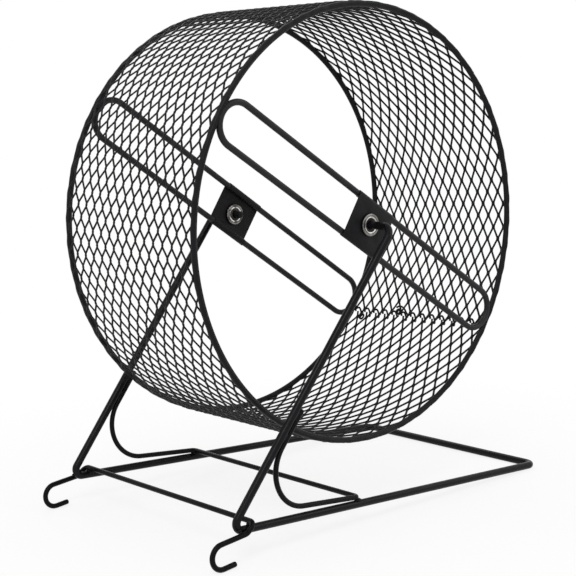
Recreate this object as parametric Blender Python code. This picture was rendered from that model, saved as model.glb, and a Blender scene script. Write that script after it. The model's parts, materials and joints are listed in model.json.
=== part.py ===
"""Hamster wheel: a wire mesh drum that turns between the legs of a bent wire stand.

Metres, +Z up, the axle along Y. The stand rests on its two hooks and its rear crossing.
Lengths are written in the stand's own frame, whose zero height is the runners' centre line.
"""

import math

import bmesh
import bpy
from mathutils import Matrix, Vector

# Wheel: two wire rims, the mesh drum over them and the lacing that closes its seam
WHEEL_DIAMETER = 0.2760
DRUM_WIDTH = 0.1290
RIM_WIRE = 0.0030
MESH_THICKNESS = 0.0008
HEM_WIDTH = 0.0035
KNUCKLE_LENGTH = 0.0020
KNUCKLE_WIDTH = 0.0016
SEAM_GAP = 0.0004
LACING_DIAMETER = 0.0076
LACING_WIRE = 0.0012
MESH_CELLS_ROUND = 26
MESH_CELLS_ACROSS = 7
LACING_TURNS_PER_CELL = 2
SEAM_ANGLE = math.radians(-32.3)

# Turns counted from the front rim at which the front lacing ends and the rear one starts
FRONT_LACING_END_TURNS = 8.75
REAR_LACING_START_TURNS = 9.25

# Hubs: a long wire loop across each end, a plate curled round it and a turned bushing
LOOP_WIRE = 0.0040
LOOP_SPACING = 0.0270
FRONT_LOOP_ANGLE = math.radians(-29.6)
REAR_LOOP_ANGLE = math.radians(-31.0)
PLATE_LENGTH = 0.0345
PLATE_THICKNESS = 0.0007
PLATE_CURL = math.radians(230)
BUSHING_BORE = 0.0060
BUSHING_BARREL = 0.0084
BUSHING_FLANGE = 0.0144
BUSHING_MOUTH = 0.0094
FLANGE_THICKNESS = 0.0012
MOUTH_DEPTH = 0.0011
FLANGE_ROUND = 0.0004

# Stand: one long wire makes both stubs, both legs, both runners and the rear crossing
BASE_WIRE = 0.0050
AXLE_HEIGHT = 0.1726
FOOT_REACH = 0.1234
TAIL_REACH = 0.1539
LEG_OFFSET_AT_AXLE = 0.0237
LEG_OFFSET_AT_FOOT = 0.0194
RUNNER_OFFSET_AT_TAIL = 0.0175
STUB_OVERHANG = 0.0057
STUB_BEND = 0.0085
FOOT_BEND = 0.0045
TAIL_BEND = 0.0065

# Hooks: a thinner wire lies across the runners and ends in a hook beside each foot
THIN_WIRE = 0.0033
HOOK_CROSSING_SETBACK = 0.0146
HOOK_BEND = 0.0043
HOOK_KNEE_SETBACK = 0.0089
HOOK_KNEE_BEND = 0.0060
HOOK_CURL_OVERHANG = 0.0092
HOOK_CURL_DROP = 0.0115
HOOK_CURL_RADIUS = 0.0074
HOOK_TIP = 0.0090
HOOK_ARM_SLOPE = math.radians(9.7)

# Brace: a second thin wire runs down both legs and back along both runners
BRACE_TOP = 0.0660
BRACE_BEND = 0.0246
BRACE_CROSSING_REACH = 0.0205
BRACE_CORNER = 0.0030
BRACE_SLOPE = math.radians(2.5)

# Pieces that touch on the real wheel stay this far apart
CLEARANCE = 0.0003

# Facet counts
WIRE_SIDES = 8
BEND_STEPS_PER_TURN = 24
RIM_STEPS = 72
LOOP_END_STEPS = 12
HOOK_STEPS = 16
CURL_STEPS = 10
TURNED_STEPS = 24
LACING_STEPS = 10
SMOOTH_LIMIT = math.radians(60)

BLACK_COAT = {"colour": (0.016, 0.015, 0.018), "roughness": 0.42, "metallic": 0.0}
DULL_NICKEL = {"colour": (0.34, 0.32, 0.27), "roughness": 0.30, "metallic": 1.0}

RIM_PLANE = DRUM_WIDTH / 2
FOOT_SPREAD = RIM_PLANE + LEG_OFFSET_AT_FOOT
TAIL_SPREAD = RIM_PLANE + RUNNER_OFFSET_AT_TAIL
AXLE_SPREAD = RIM_PLANE + LEG_OFFSET_AT_AXLE
RIM_RADIUS = (WHEEL_DIAMETER - RIM_WIRE) / 2
FLAT_SHARE = math.cos(math.pi / WIRE_SIDES)

# The thin wires lie this high over the runners' centre lines, welded to them
CROSSING_HEIGHT = BASE_WIRE / 2 + CLEARANCE + THIN_WIRE / 2

# The hook wire crosses behind the feet, and its curls lie beyond them
HOOK_CROSSING_REACH = FOOT_REACH - HOOK_CROSSING_SETBACK
HOOK_KNEE_REACH = FOOT_REACH - HOOK_KNEE_SETBACK
HOOK_CURL_REACH = FOOT_REACH + HOOK_CURL_OVERHANG

HALF_CELLS_ROUND = 2 * MESH_CELLS_ROUND
HALF_CELLS_ACROSS = 2 * MESH_CELLS_ACROSS
MESH_INNER = (WHEEL_DIAMETER / 2 + CLEARANCE) / math.cos(math.pi / HALF_CELLS_ROUND)
MESH_OUTER = MESH_INNER + MESH_THICKNESS
MESH_MIDDLE = MESH_INNER + MESH_THICKNESS / 2
SEAM_SHARE = SEAM_GAP / MESH_INNER
HALF_CELL_ANGLE = (math.tau - SEAM_SHARE) / HALF_CELLS_ROUND
HALF_CELL_LENGTH = HALF_CELL_ANGLE * MESH_INNER
HALF_CELL_WIDTH = DRUM_WIDTH / HALF_CELLS_ACROSS
LACING_PITCH = 2 * HALF_CELL_WIDTH / LACING_TURNS_PER_CELL

# The plate's curls clear the loop's wires, and its flat lies level with them
CURL_INNER = (LOOP_WIRE / 2 + CLEARANCE) / math.cos(PLATE_CURL / CURL_STEPS / 2)
CURL_OUTER = CURL_INNER + PLATE_THICKNESS
HUB_HOLE = BUSHING_BARREL / 2 + CLEARANCE


def clear_scene():
    for item in list(bpy.data.objects):
        bpy.data.objects.remove(item, do_unlink=True)


def finish_material(name, finish):
    material = bpy.data.materials.new(name)
    material.use_nodes = True
    shader = material.node_tree.nodes["Principled BSDF"]
    shader.inputs["Base Color"].default_value = (*finish["colour"], 1.0)
    shader.inputs["Roughness"].default_value = finish["roughness"]
    shader.inputs["Metallic"].default_value = finish["metallic"]
    material.diffuse_color = (*finish["colour"], 1.0)
    return material


def add_object(name, data, finish, parent):
    item = bpy.data.objects.new(name, data)
    data.materials.append(finish_material(name + "_finish", finish))
    bpy.context.collection.objects.link(item)
    item.parent = parent
    return item


def add_mesh(name, bm, finish, parent):
    bmesh.ops.recalc_face_normals(bm, faces=bm.faces)
    mesh = bpy.data.meshes.new(name)
    bm.to_mesh(mesh)
    bm.free()
    mesh.shade_smooth()
    mesh.set_sharp_from_angle(angle=SMOOTH_LIMIT)
    return add_object(name, mesh, finish, parent)


def add_empty(name, location, parent):
    empty = bpy.data.objects.new(name, None)
    bpy.context.collection.objects.link(empty)
    empty.location = location
    empty.parent = parent
    return empty


def corner_arc(before, corner, after, radius):
    """Points of the arc that rounds one corner of a path."""
    back = (before - corner).normalized()
    ahead = (after - corner).normalized()
    opening = back.angle(ahead)
    setback = radius / math.tan(opening / 2)
    centre = corner + (back + ahead).normalized() * (radius / math.sin(opening / 2))
    start = corner + back * setback - centre
    end = corner + ahead * setback - centre
    turn = math.pi - opening
    steps = max(2, math.ceil(turn / math.tau * BEND_STEPS_PER_TURN))
    points = []
    for step in range(steps + 1):
        part = step / steps * turn
        mix = start * math.sin(turn - part) + end * math.sin(part)
        points.append(centre + mix / math.sin(turn))
    return points


def rounded_path(corners, radii):
    """A path through the corners, with each inner corner rounded to its radius."""
    points = [corners[0]]
    for index, radius in enumerate(radii, start=1):
        points.extend(corner_arc(corners[index - 1], corners[index], corners[index + 1], radius))
    points.append(corners[-1])
    return points


def mirrored_path(half):
    """A path that starts at +Y, and its mirror image back to -Y, as one path."""
    other = [Vector((point.x, -point.y, point.z)) for point in reversed(half)]
    if (half[-1] - other[0]).length < CLEARANCE:
        other = other[1:]
    return half + other


def side_offsets(runs, anchor, facing, radius):
    """For each run of a path, the offsets of the wire's corners, carried on without twist."""
    first = (facing - runs[anchor] * facing.dot(runs[anchor])).normalized()
    normals = {anchor: first}
    for index in range(anchor + 1, len(runs)):
        normals[index] = runs[index - 1].rotation_difference(runs[index]) @ normals[index - 1]
    for index in range(anchor - 1, -1, -1):
        normals[index] = runs[index + 1].rotation_difference(runs[index]) @ normals[index + 1]
    offsets = []
    for index, run in enumerate(runs):
        across = run.cross(normals[index])
        angles = [math.tau * (side + 0.5) / WIRE_SIDES for side in range(WIRE_SIDES)]
        offsets.append([(normals[index] * math.cos(a) + across * math.sin(a)) * radius for a in angles])
    return offsets


def wire_ring(bm, point, run, next_run, offsets):
    """One ring of corners, in the plane that halves the bend between two runs."""
    plane = (run + next_run).normalized()
    ring = []
    for offset in offsets:
        slide = -offset.dot(plane) / run.dot(plane)
        ring.append(bm.verts.new(point + offset + run * slide))
    return ring


def join_rings(bm, first, second):
    count = len(first)
    for side in range(count):
        after = (side + 1) % count
        bm.faces.new((first[side], first[after], second[after], second[side]))


def swept_wire(path, diameter, facing, anchor=0, closed=False):
    """A wire along a path, with a flat side turned to face a direction at one run."""
    count = len(path)
    run_count = count if closed else count - 1
    runs = [(path[(k + 1) % count] - path[k]).normalized() for k in range(run_count)]
    offsets = side_offsets(runs, anchor, facing, diameter / 2)
    bm = bmesh.new()
    rings = []
    for index, point in enumerate(path):
        here = index if closed or index < run_count else run_count - 1
        back = here - 1 if closed or 0 < index < run_count else here
        rings.append(wire_ring(bm, point, runs[here], runs[back], offsets[here]))
    for index in range(count - 1):
        join_rings(bm, rings[index], rings[index + 1])
    if closed:
        join_rings(bm, rings[-1], rings[0])
    else:
        bm.faces.new(rings[0])
        bm.faces.new(rings[-1])
    return bm


def hook_step_angle(tilt):
    """Angle of one step of a hook's curl, whose last step lies level once the stand is tilted."""
    return (math.pi - HOOK_ARM_SLOPE + tilt) / (HOOK_STEPS - 0.5)


def stance_tilt():
    """Lean of the stand when its hooks and its rear crossing rest on one floor."""
    reach = HOOK_CURL_REACH + TAIL_REACH
    tail_height = BASE_WIRE / 2 * FLAT_SHARE
    tilt = 0.0
    for _ in range(8):
        chord_height = HOOK_CURL_RADIUS * math.cos(hook_step_angle(tilt) / 2)
        hook_height = chord_height + THIN_WIRE / 2 * FLAT_SHARE
        lean = math.asin((hook_height - tail_height) / math.hypot(reach, HOOK_CURL_DROP))
        tilt = math.atan2(HOOK_CURL_DROP, reach) + lean
    return tilt


def leg_spread(height):
    """Distance of a leg's centre line from the middle plane at a height."""
    return FOOT_SPREAD + (AXLE_SPREAD - FOOT_SPREAD) * height / AXLE_HEIGHT


def runner_spread(reach):
    """Distance of a runner's centre line from the middle plane, by how far it lies before the axle."""
    share = (FOOT_REACH - reach) / (FOOT_REACH + TAIL_REACH)
    return FOOT_SPREAD + (TAIL_SPREAD - FOOT_SPREAD) * share


def main_frame_wire(stance, tilt):
    half = rounded_path(
        [
            Vector((0, RIM_PLANE - STUB_OVERHANG, AXLE_HEIGHT)),
            Vector((0, AXLE_SPREAD, AXLE_HEIGHT)),
            Vector((-FOOT_REACH, FOOT_SPREAD, 0)),
            Vector((TAIL_REACH, TAIL_SPREAD, 0)),
            Vector((TAIL_REACH, 0, 0)),
        ],
        [STUB_BEND, FOOT_BEND, TAIL_BEND],
    )
    path = mirrored_path(half)
    floor_side = Vector((math.sin(tilt), 0, -math.cos(tilt)))
    bm = swept_wire(path, BASE_WIRE, floor_side, anchor=len(half) - 2)
    return add_mesh("main_frame_wire", bm, BLACK_COAT, stance)


def hook_curl(tilt, spread):
    """The curl of one hook, from the end of its arm round to its tip."""
    centre = Vector((-HOOK_CURL_REACH, spread, -HOOK_CURL_DROP))
    step_angle = hook_step_angle(tilt)
    points = []
    for step in range(HOOK_STEPS + 1):
        angle = math.pi / 2 + HOOK_ARM_SLOPE + step * step_angle
        points.append(centre + Vector((math.cos(angle), 0, math.sin(angle))) * HOOK_CURL_RADIUS)
    rise = HOOK_ARM_SLOPE + HOOK_STEPS * step_angle - math.pi
    points.append(points[-1] + Vector((math.cos(rise), 0, math.sin(rise))) * HOOK_TIP)
    return points


def hook_wire(stance, tilt):
    spread = FOOT_SPREAD + BASE_WIRE / 2 + CLEARANCE + THIN_WIRE / 2
    curl = hook_curl(tilt, spread)
    knee_drop = (HOOK_CURL_REACH - HOOK_KNEE_REACH) * math.tan(HOOK_ARM_SLOPE)
    knee = Vector((-HOOK_KNEE_REACH, spread, curl[0].z + knee_drop))
    crossing = Vector((-HOOK_CROSSING_REACH, 0, CROSSING_HEIGHT))
    corner = Vector((-HOOK_CROSSING_REACH, spread, CROSSING_HEIGHT))
    arm = rounded_path([crossing, corner, knee, curl[0]], [HOOK_BEND, HOOK_KNEE_BEND])
    half = list(reversed(arm[:-1] + curl))
    path = mirrored_path(half)
    bm = swept_wire(path, THIN_WIRE, Vector((0, 0, -1)), anchor=1)
    return add_mesh("hook_wire", bm, BLACK_COAT, stance)


def brace_wire(stance):
    leg = Vector((FOOT_REACH, 0, AXLE_HEIGHT)).normalized()
    start = Vector((-FOOT_REACH, 0, 0)) + Vector((leg.z, 0, -leg.x)) * CROSSING_HEIGHT
    fall = math.tan(BRACE_SLOPE)
    corner = Vector((-BRACE_CROSSING_REACH, 0, CROSSING_HEIGHT))
    along = (corner.z - start.z - (start.x - corner.x) * fall) / (leg.z + leg.x * fall)
    knee = start + leg * along
    top = start + leg * ((BRACE_TOP - start.z) / leg.z)
    top.y = leg_spread(top.z)
    knee.y = leg_spread(knee.z)
    corner.y = runner_spread(BRACE_CROSSING_REACH)
    crossing = Vector((corner.x, 0, corner.z))
    half = rounded_path([top, knee, corner, crossing], [BRACE_BEND, BRACE_CORNER])
    path = mirrored_path(half)
    bm = swept_wire(path, THIN_WIRE, Vector((0, 0, -1)), anchor=len(half) - 2)
    return add_mesh("brace_wire", bm, BLACK_COAT, stance)


def rim(name, side, axle):
    path = []
    for step in range(RIM_STEPS):
        angle = math.tau * step / RIM_STEPS
        path.append(Vector((RIM_RADIUS * math.cos(angle), side * RIM_PLANE, RIM_RADIUS * math.sin(angle))))
    bm = swept_wire(path, RIM_WIRE, Vector((0, 1, 0)), closed=True)
    return add_mesh(name, bm, BLACK_COAT, axle)


def drum_point(bm, angle, y, radius):
    return bm.verts.new((radius * math.cos(angle), y, radius * math.sin(angle)))


def lattice_angle(column):
    return SEAM_ANGLE + SEAM_SHARE / 2 + column * HALF_CELL_ANGLE


def lattice_knuckle(bm, column, row):
    """The corners of one knuckle, where four strands meet, keyed by the side they lie on."""
    angle = lattice_angle(column)
    y = row * HALF_CELL_WIDTH - RIM_PLANE
    reach = KNUCKLE_LENGTH / 2 / MESH_INNER
    corners = {
        "left": drum_point(bm, angle, y - KNUCKLE_WIDTH / 2, MESH_INNER),
        "right": drum_point(bm, angle, y + KNUCKLE_WIDTH / 2, MESH_INNER),
        "top": drum_point(bm, angle, y, MESH_OUTER),
    }
    if column < HALF_CELLS_ROUND:
        corners["up"] = drum_point(bm, angle + reach, y, MESH_INNER)
    if column > 0:
        corners["down"] = drum_point(bm, angle - reach, y, MESH_INNER)
    return corners


def close_knuckle(bm, corners):
    """The inner face of a knuckle, and the cut face of one that the seam halves."""
    loop = [corners[key] for key in ("up", "right", "down", "left") if key in corners]
    bm.faces.new(loop)
    if len(loop) == 3:
        bm.faces.new((corners["left"], corners["right"], corners["top"]))


def hem_root(bm, column, along, hem):
    """The end of a strand on the hem, widened as far as the strand's slope asks."""
    half_hem = HEM_WIDTH / 2
    slope = (HALF_CELL_LENGTH - KNUCKLE_LENGTH / 2) / (HALF_CELL_WIDTH - KNUCKLE_WIDTH / 2)
    far = KNUCKLE_LENGTH / 2 + slope * half_hem
    near = slope * (half_hem - KNUCKLE_WIDTH / 2)
    middle = HALF_CELL_LENGTH / HALF_CELL_WIDTH * half_hem
    root = []
    for reach, radius in ((far, MESH_INNER), (near, MESH_INNER), (middle, MESH_OUTER)):
        angle = lattice_angle(column) + along * reach / MESH_INNER
        root.append(drum_point(bm, angle, hem["inner_y"], radius))
        layer = hem["low"] if radius == MESH_INNER else hem["high"]
        layer.append((angle, root[-1]))
    hem["roots"].append(set(root))
    return root


def strand_end(bm, knuckles, hems, place, along, across):
    """The three corners of a strand's end: two inside the drum and its ridge outside."""
    column, row = place
    if row in hems:
        return hem_root(bm, column, along, hems[row])
    corners = knuckles[place]
    first = corners["up" if along > 0 else "down"]
    second = corners["right" if across > 0 else "left"]
    return [first, second, corners["top"]]


def lattice_strand(bm, start, end):
    bm.faces.new((start[0], end[1], end[0], start[1]))
    bm.faces.new((start[0], start[2], end[2], end[1]))
    bm.faces.new((start[1], start[2], end[2], end[0]))


def hem_edges(bm, side):
    """The lines of corners that bound one hem, each with its angles round the drum."""
    hem = {"inner_y": side * (RIM_PLANE - HEM_WIDTH / 2), "roots": []}
    lines = {
        "low": (hem["inner_y"], MESH_INNER),
        "high": (hem["inner_y"], MESH_OUTER),
        "outer_low": (side * (RIM_PLANE + HEM_WIDTH / 2), MESH_INNER),
        "outer_high": (side * (RIM_PLANE + HEM_WIDTH / 2), MESH_OUTER),
    }
    for key, (y, radius) in lines.items():
        hem[key] = []
        for column in range(HALF_CELLS_ROUND + 1):
            at_root = key in ("low", "high") and column % 2 == 0
            if not at_root or column in (0, HALF_CELLS_ROUND):
                angle = lattice_angle(column)
                hem[key].append((angle, drum_point(bm, angle, y, radius)))
    return hem


def bridge_lines(bm, first, second, left_open=()):
    """Triangles between two lines of corners, taken in order of their angles."""
    a = b = 0
    while a < len(first) - 1 or b < len(second) - 1:
        take_first = b == len(second) - 1
        if a < len(first) - 1 and not take_first:
            take_first = first[a + 1][0] <= second[b + 1][0]
        corner = first[a + 1][1] if take_first else second[b + 1][1]
        triangle = (first[a][1], second[b][1], corner)
        if set(triangle) not in left_open:
            bm.faces.new(triangle)
        if take_first:
            a += 1
        else:
            b += 1


def close_hem(bm, hem):
    for key in ("low", "high"):
        hem[key].sort(key=lambda item: item[0])
    bridge_lines(bm, hem["low"], hem["outer_low"])
    bridge_lines(bm, hem["high"], hem["outer_high"])
    bridge_lines(bm, hem["outer_low"], hem["outer_high"])
    bridge_lines(bm, hem["low"], hem["high"], hem["roots"])
    for end in (0, -1):
        bm.faces.new([hem[key][end][1] for key in ("low", "high", "outer_high", "outer_low")])


def drum_mesh(axle):
    """Long-celled mesh round the rims, with a hem over each and every second strand drawn."""
    bm = bmesh.new()
    hems = {0: hem_edges(bm, -1), HALF_CELLS_ACROSS: hem_edges(bm, 1)}
    knuckles = {}
    for column in range(HALF_CELLS_ROUND + 1):
        for row in range(1, HALF_CELLS_ACROSS):
            if (column + row) % 2 == 0:
                knuckles[column, row] = lattice_knuckle(bm, column, row)
    for corners in knuckles.values():
        close_knuckle(bm, corners)
    for column in range(HALF_CELLS_ROUND):
        for row in range(column % 2, HALF_CELLS_ACROSS + 1, 2):
            for across in (-1, 1):
                if 0 <= row + across <= HALF_CELLS_ACROSS:
                    start = strand_end(bm, knuckles, hems, (column, row), 1, across)
                    far = (column + 1, row + across)
                    end = strand_end(bm, knuckles, hems, far, -1, -across)
                    lattice_strand(bm, start, end)
    for hem in hems.values():
        close_hem(bm, hem)
    return add_mesh("drum_mesh", bm, BLACK_COAT, axle)


def lacing_point(turns):
    """A point of the lacing's centre line, by its turns from the front rim's plane."""
    phase = math.tau * turns
    radius = (LACING_DIAMETER - LACING_WIRE) / 2
    angle = SEAM_ANGLE - radius * math.cos(phase) / MESH_MIDDLE
    height = MESH_MIDDLE + radius * math.sin(phase)
    y = turns * LACING_PITCH - RIM_PLANE
    return Vector((height * math.cos(angle), y, height * math.sin(angle)))


def lacing_path(first_turn, last_turn):
    count = round((last_turn - first_turn) * LACING_STEPS)
    span = (last_turn - first_turn) / count
    points = [lacing_point(first_turn + span * step) for step in range(count + 1)]
    before = (lacing_point(first_turn - span / 4) - points[0]).normalized() * LACING_WIRE
    after = (lacing_point(last_turn + span / 4) - points[-1]).normalized() * LACING_WIRE
    return [points[0] + before] + points + [points[-1] + after]


def least_turn_gap(path):
    """The least gap between a lacing's neighbouring turns, measured on its points."""
    gaps = []
    for index, point in enumerate(path):
        for other in path[index + LACING_STEPS // 2:]:
            gaps.append((other - point).length - LACING_WIRE)
    return min(gaps)


def seam_lacing(name, first_turn, last_turn, axle):
    path = lacing_path(first_turn, last_turn)
    print(name, "least gap to itself", round(least_turn_gap(path), 5))
    curve = bpy.data.curves.new(name, "CURVE")
    curve.dimensions = "3D"
    curve.bevel_depth = LACING_WIRE / 2
    curve.bevel_resolution = 1
    curve.use_fill_caps = True
    spline = curve.splines.new("POLY")
    spline.points.add(len(path) - 1)
    for target, point in zip(spline.points, path):
        target.co = (*point, 1.0)
    return add_object(name, curve, BLACK_COAT, axle)


def lacing_end_turns():
    """Turns between a rim's plane and a lacing's end, which stops short of the rim wire."""
    slope = LACING_PITCH / math.hypot(LACING_PITCH, math.pi * (LACING_DIAMETER - LACING_WIRE))
    room = RIM_WIRE / 2 + CLEARANCE + LACING_WIRE / 2 + LACING_WIRE * slope
    return room / LACING_PITCH


def spoke_loop(name, side, slant, axle):
    """A long loop of wire whose round ends reach the rim."""
    end_radius = LOOP_SPACING / 2
    end_centre = RIM_RADIUS - RIM_WIRE / 2 - CLEARANCE - LOOP_WIRE / 2 - end_radius
    path = []
    for end in (0, math.pi):
        centre = Vector((end_centre * math.cos(slant + end), 0, end_centre * math.sin(slant + end)))
        for step in range(LOOP_END_STEPS + 1):
            angle = slant + end + math.pi * (step / LOOP_END_STEPS - 0.5)
            path.append(centre + Vector((math.cos(angle), 0, math.sin(angle))) * end_radius)
    path = [point + Vector((0, side * RIM_PLANE, 0)) for point in path]
    bm = swept_wire(path, LOOP_WIRE, Vector((0, 1, 0)), closed=True)
    return add_mesh(name, bm, BLACK_COAT, axle)


def plate_face(bm, corners, hole):
    """One flat face of the plate, with its hole, from four corners and a ring of hole corners."""
    quarter = len(hole) // 4
    for index, corner in enumerate(corners):
        for step in range(quarter):
            first = (index * quarter + step) % len(hole)
            bm.faces.new((corner, hole[first], hole[(first + 1) % len(hole)]))
        after = (index + 1) * quarter % len(hole)
        bm.faces.new((corner, hole[after], corners[(index + 1) % 4]))


def plate_flat(bm, height):
    """Corners of the plate's flat at one height, counted round from the first quarter."""
    half_length = PLATE_LENGTH / 2
    half_width = LOOP_SPACING / 2
    signs = ((1, 1), (-1, 1), (-1, -1), (1, -1))
    corners = [bm.verts.new((half_length * x, half_width * y, height)) for x, y in signs]
    hole = []
    for step in range(TURNED_STEPS):
        angle = math.tau * step / TURNED_STEPS
        hole.append(bm.verts.new((HUB_HOLE * math.cos(angle), HUB_HOLE * math.sin(angle), height)))
    plate_face(bm, corners, hole)
    return corners, hole


def plate_curl(bm, side, inner, outer):
    """One long edge of the plate, rolled round a wire of the loop from the flat's corners."""
    for step in range(1, CURL_STEPS + 1):
        angle = math.pi / 2 - PLATE_CURL * step / CURL_STEPS
        rings = []
        for radius in (CURL_INNER, CURL_OUTER):
            y = side * (LOOP_SPACING / 2 + radius * math.cos(angle))
            z = radius * math.sin(angle)
            rings.append([bm.verts.new((x * PLATE_LENGTH / 2, y, z)) for x in (-1, 1)])
        bm.faces.new((*inner, rings[0][1], rings[0][0]))
        bm.faces.new((*outer, rings[1][1], rings[1][0]))
        for end in (0, 1):
            bm.faces.new((inner[end], outer[end], rings[1][end], rings[0][end]))
        inner, outer = rings
    bm.faces.new((inner[0], inner[1], outer[1], outer[0]))


def hub_plate(name, side, slant, axle):
    bm = bmesh.new()
    inner, inner_hole = plate_flat(bm, CURL_INNER)
    outer, outer_hole = plate_flat(bm, CURL_OUTER)
    join_rings(bm, inner_hole, outer_hole)
    for first, second in ((0, 3), (1, 2)):
        bm.faces.new((inner[first], inner[second], outer[second], outer[first]))
    plate_curl(bm, 1, (inner[1], inner[0]), (outer[1], outer[0]))
    plate_curl(bm, -1, (inner[2], inner[3]), (outer[2], outer[3]))
    along = Vector((math.cos(slant), 0, math.sin(slant)))
    outward = Vector((0, side, 0))
    turn = Matrix((along, outward.cross(along), outward)).transposed().to_4x4()
    bmesh.ops.transform(bm, matrix=turn, verts=bm.verts)
    bmesh.ops.translate(bm, vec=outward * RIM_PLANE, verts=bm.verts)
    return add_mesh(name, bm, BLACK_COAT, axle)


def bushing_profile():
    """Half section of a bushing as pairs of radius and height over the rim's plane."""
    bore = BUSHING_BORE / 2
    barrel = BUSHING_BARREL / 2
    flange = BUSHING_FLANGE / 2
    seat = CURL_INNER - CLEARANCE
    bottom = seat - FLANGE_THICKNESS
    lip = CURL_OUTER + CLEARANCE
    top = lip + FLANGE_THICKNESS
    return [
        (bore, bottom),
        (flange - FLANGE_ROUND, bottom),
        (flange, bottom + FLANGE_ROUND),
        (flange, seat),
        (barrel, seat),
        (barrel, lip),
        (flange, lip),
        (flange, top - FLANGE_ROUND),
        (flange - FLANGE_ROUND, top),
        (BUSHING_MOUTH / 2, top),
        (bore, top - MOUTH_DEPTH),
    ]


def bushing(name, side, axle):
    bm = bmesh.new()
    corners = [bm.verts.new((radius, side * (RIM_PLANE + height), 0)) for radius, height in bushing_profile()]
    edges = [bm.edges.new((corners[k - 1], corners[k])) for k in range(len(corners))]
    bmesh.ops.spin(bm, geom=corners + edges, cent=(0, 0, 0), axis=(0, 1, 0), angle=math.tau,
                   steps=TURNED_STEPS, use_merge=True)
    return add_mesh(name, bm, DULL_NICKEL, axle)


def stand_on_floor(stance, pieces):
    """Moves the stance so that the pieces' box stands centred on the origin."""
    bpy.context.view_layer.update()
    points = [piece.matrix_world @ vert.co for piece in pieces for vert in piece.data.vertices]
    middle = (min(p.x for p in points) + max(p.x for p in points)) / 2
    stance.location = (-middle, 0, -min(p.z for p in points))
    bpy.context.view_layer.update()


def build():
    clear_scene()
    tilt = stance_tilt()
    stance = add_empty("stance", (0, 0, 0), None)
    stance.rotation_euler.y = tilt
    axle = add_empty("axle", (0, 0, AXLE_HEIGHT), stance)
    stand = [main_frame_wire(stance, tilt), hook_wire(stance, tilt), brace_wire(stance)]
    for name, side, slant in (("front", -1, FRONT_LOOP_ANGLE), ("rear", 1, REAR_LOOP_ANGLE)):
        rim(name + "_rim", side, axle)
        spoke_loop(name + "_spoke_loop", side, slant, axle)
        hub_plate(name + "_hub_plate", side, slant, axle)
        bushing(name + "_bushing", side, axle)
    drum_mesh(axle)
    end_turns = lacing_end_turns()
    last_turn = DRUM_WIDTH / LACING_PITCH - end_turns
    seam_lacing("seam_lacing_front", end_turns, FRONT_LACING_END_TURNS, axle)
    seam_lacing("seam_lacing_rear", REAR_LACING_START_TURNS, last_turn, axle)
    stand_on_floor(stance, stand)
    print("axle at", [round(value, 6) for value in axle.matrix_world.translation])


build()
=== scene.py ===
"""Hamster wheel: the dressed model of a wire mesh drum between the legs of a bent wire stand.

Metres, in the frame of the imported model: x runs from the hooks towards the rear crossing, y from the
front rim to the rear one, and z up. The stand is written upright, with z from its runners' centre
line, and the wheel about its axle. Both are tilted into place at the end. Angles round the wheel
start at +x and go up.
"""

from bisect import bisect
import json
import math

import bmesh
import bpy
from mathutils import Euler, Matrix, Vector, noise


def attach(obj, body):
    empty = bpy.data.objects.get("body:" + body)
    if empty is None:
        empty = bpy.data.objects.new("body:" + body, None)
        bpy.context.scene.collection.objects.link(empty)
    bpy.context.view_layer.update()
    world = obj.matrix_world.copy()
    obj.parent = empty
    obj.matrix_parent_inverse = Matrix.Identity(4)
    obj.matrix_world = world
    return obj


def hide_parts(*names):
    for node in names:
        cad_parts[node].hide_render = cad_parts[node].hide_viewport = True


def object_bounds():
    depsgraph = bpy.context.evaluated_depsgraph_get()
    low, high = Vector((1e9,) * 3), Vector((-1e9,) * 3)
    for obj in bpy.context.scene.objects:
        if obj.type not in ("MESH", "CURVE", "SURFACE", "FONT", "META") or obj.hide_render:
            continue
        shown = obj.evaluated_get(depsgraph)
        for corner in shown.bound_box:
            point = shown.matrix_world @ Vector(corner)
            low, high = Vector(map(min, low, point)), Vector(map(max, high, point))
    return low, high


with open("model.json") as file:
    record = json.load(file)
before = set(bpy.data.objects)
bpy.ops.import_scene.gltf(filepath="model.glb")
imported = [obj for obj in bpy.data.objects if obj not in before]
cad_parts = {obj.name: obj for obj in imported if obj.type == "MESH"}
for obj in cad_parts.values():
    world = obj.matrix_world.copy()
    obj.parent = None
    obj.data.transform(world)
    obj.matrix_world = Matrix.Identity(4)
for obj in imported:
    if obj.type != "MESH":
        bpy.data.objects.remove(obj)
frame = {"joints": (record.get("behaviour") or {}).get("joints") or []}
cad_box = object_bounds()

# Wheel
SIDES = (("front", -1), ("rear", 1))
WHEEL_DIAMETER = 0.2760
DRUM_WIDTH = 0.1290
RIM_WIRE = 0.0030
RIM_STEPS = 240
RIM_PLANE = DRUM_WIDTH / 2
RIM_RADIUS = (WHEEL_DIAMETER - RIM_WIRE) / 2

# Mesh: its strands are flattened and tilted. Each lies further out at one edge than at the other, by
# twice the stagger, and sinks inward where it comes near a hem
MESH_INNER = 0.13855
MESH_OUTER = 0.13935
MESH_MIDDLE = (MESH_INNER + MESH_OUTER) / 2
MESH_OVERLAP = 0.0006
STRAND_DEPTH = 0.00078
STRAND_CENTRE = MESH_OUTER - STRAND_DEPTH
STRAND_BROAD = 0.00078
STRAND_THIN = 0.00057
STRAND_SIDES = 8
STRAND_TILT = math.radians(-9)
STRAND_STAGGER = -0.00028
SINK_REACH = 0.0035
SINK_SLOPE = 0.15

# Knuckles, where neighbouring strands meet. Their lengths are in half columns and half rows of the
# mesh, and their thicknesses in shares of a strand's own
KNUCKLE_HALF = 0.13
KNUCKLE_LEAN = 0.028
KNUCKLE_SETBACK = 0.060
KNUCKLE_THICKNESS = 1.10
KNUCKLE_END_THICKNESS = 0.97
KNUCKLE_DRIFT = (0.035, 0.045)
KNUCKLE_NOISE_STEPS = (0.83, 1.27)
KNUCKLE_NOISE_PLACE = 3.1
ROW_NOISE_SHIFT = Vector((9.0, 4.0, 0.0))

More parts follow.
